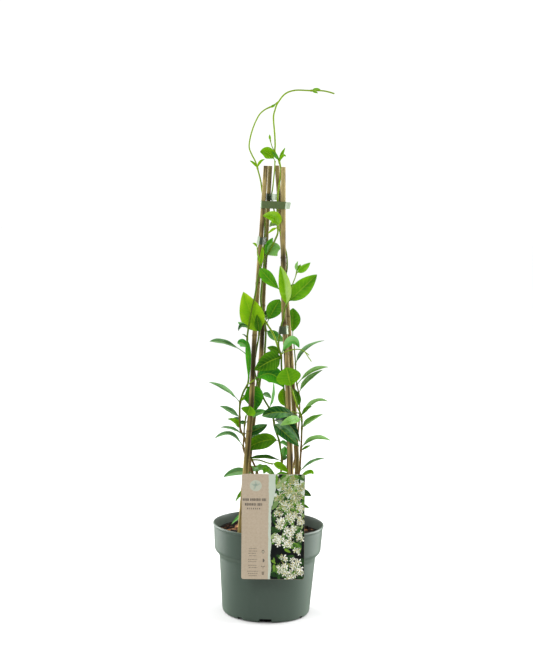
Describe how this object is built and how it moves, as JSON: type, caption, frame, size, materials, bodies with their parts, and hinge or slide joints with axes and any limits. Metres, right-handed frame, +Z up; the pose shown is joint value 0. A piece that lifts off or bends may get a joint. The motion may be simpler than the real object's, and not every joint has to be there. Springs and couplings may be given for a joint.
{
  "type": "potted star jasmine",
  "caption": "Young evergreen climber with glossy pointed leaves, twining up bamboo canes in a round grey-green nursery pot, with a picture label hooked over the rim.",
  "frame": {"origin": "centre of the pot's underside, on the plane it stands on", "axes": "+Z up, -Y towards the side with the label, +X to that side's right"},
  "size_m": [0.1949, 0.181, 0.8343],
  "materials": {
    "pot": "satin",
    "soil": "matte",
    "label": "satin",
    "cane": "satin",
    "tie": "satin",
    "leaf": "satin"
  },
  "bodies": {
    "root": {"pot": "pot", "soil": "soil", "label": "label", "cane_front_left": "cane", "cane_back_left": "cane", "cane_back_right": "cane", "cane_front_right": "cane", "tie_top": "tie", "tie_top_back": "tie", "tie_left": "tie", "tie_right": "tie", "stem_right_outer": "leaf", "stem_right_back": "leaf", "stem_middle": "leaf", "stem_left_inner": "leaf", "stem_left_outer": "leaf", "stem_top": "leaf", "stem_right_twiner": "leaf", "shoot_back_left": "leaf", "shoot_back_right": "leaf", "shoot_front": "leaf"}
  },
  "joints": []
}
